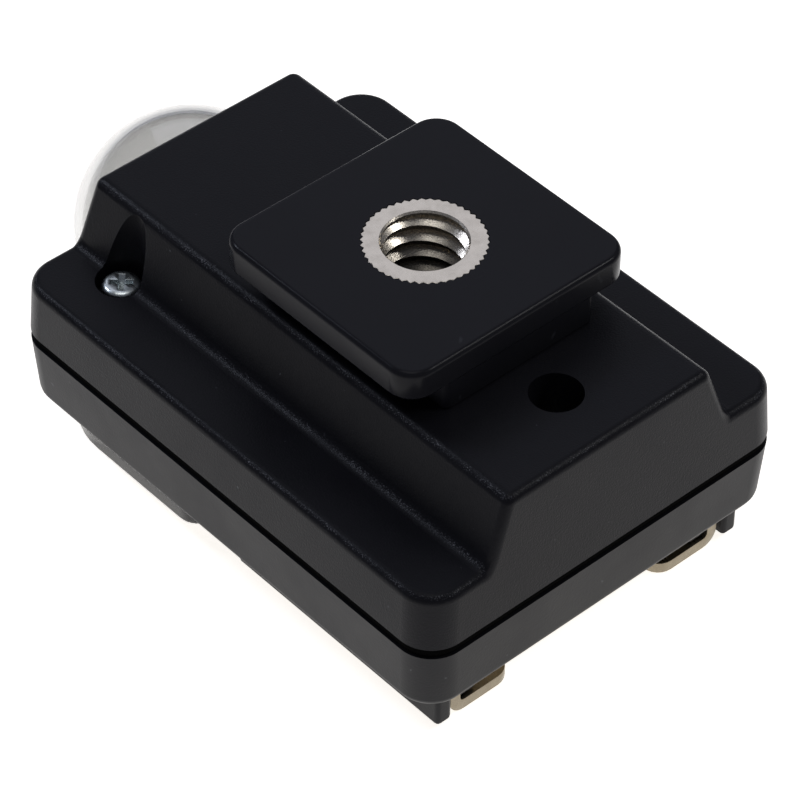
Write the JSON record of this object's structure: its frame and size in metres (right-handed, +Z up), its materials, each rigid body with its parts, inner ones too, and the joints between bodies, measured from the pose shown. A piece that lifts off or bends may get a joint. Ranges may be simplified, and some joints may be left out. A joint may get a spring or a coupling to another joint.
{
  "type": "light meter",
  "caption": "Small shoe-mount light sensing unit: black two-part casing, clear dome, mounting foot with tripod insert, and an accessory shoe on its front.",
  "frame": {"origin": "centre of the bottom of the unit's box, on the lower faces of the shoe's two lips, with the unit lying on its front", "axes": "+Z up, from the front face towards the mounting foot; +X along the body towards the end where the shoe opens, with the clear dome at the -X end"},
  "size_m": [0.0486, 0.0306, 0.0224],
  "materials": {
    "moulded_shell": "fine moulded texture, black",
    "gasket_rubber": "plain",
    "foot_plastic": "smooth satin gloss, black",
    "nickel": "nickel plate, satin",
    "liner_plastic": "plain black",
    "zinc": "bright zinc plate",
    "spring_steel": "bright",
    "contact_brass": "bright",
    "clear_moulding": "clear polished",
    "smoked_lens": "smoked, polished",
    "amber_lens": "amber, diffused",
    "circuit_board": "solder mask",
    "capacitor_sleeve": "shrink sleeve",
    "epoxy": "moulded epoxy",
    "film_red": "dipped",
    "resistor_body": "lacquered",
    "tinned_wire": "tinned",
    "red_insulation": "PVC",
    "black_insulation": "PVC"
  },
  "bodies": {
    "casing": {"rear_cover": "moulded_shell", "front_housing": "moulded_shell", "seam_gasket": "gasket_rubber", "mount_foot": "foot_plastic", "threaded_insert": "nickel", "shoe_frame": "nickel", "shoe_liner": "liner_plastic", "contact_insulator": "liner_plastic", "case_screw_left": "zinc", "case_screw_right": "zinc", "case_screw_end": "zinc", "foot_screw_front": "zinc", "foot_screw_rear": "zinc", "shoe_screw_1": "zinc", "shoe_screw_2": "zinc", "shoe_screw_3": "zinc", "shoe_screw_4": "zinc", "shoe_spring_left": "spring_steel", "shoe_spring_right": "spring_steel", "contact_spring": "spring_steel", "contact_terminal": "contact_brass", "sensor_window": "clear_moulding", "photo_sensor": "smoked_lens", "indicator_lamp": "amber_lens", "main_board": "circuit_board", "storage_capacitor": "capacitor_sleeve", "thyristor": "epoxy", "film_capacitor": "film_red", "resistor_1": "resistor_body", "resistor_2": "resistor_body", "resistor_3": "resistor_body", "thyristor_leg_1": "tinned_wire", "thyristor_leg_2": "tinned_wire", "thyristor_leg_3": "tinned_wire", "sensor_lead_emitter": "tinned_wire", "sensor_lead_collector": "tinned_wire", "contact_wire": "red_insulation", "ground_wire": "black_insulation"},
    "contact": {"centre_contact": "contact_brass"}
  },
  "joints": [
    {"name": "contact_press", "type": "slide", "parent": "casing", "child": "contact", "axis": [0, 0, 1], "range_m": [0, 0.0006], "stiffness_N_per_m": 800, "springref_m": -0.0006}
  ]
}
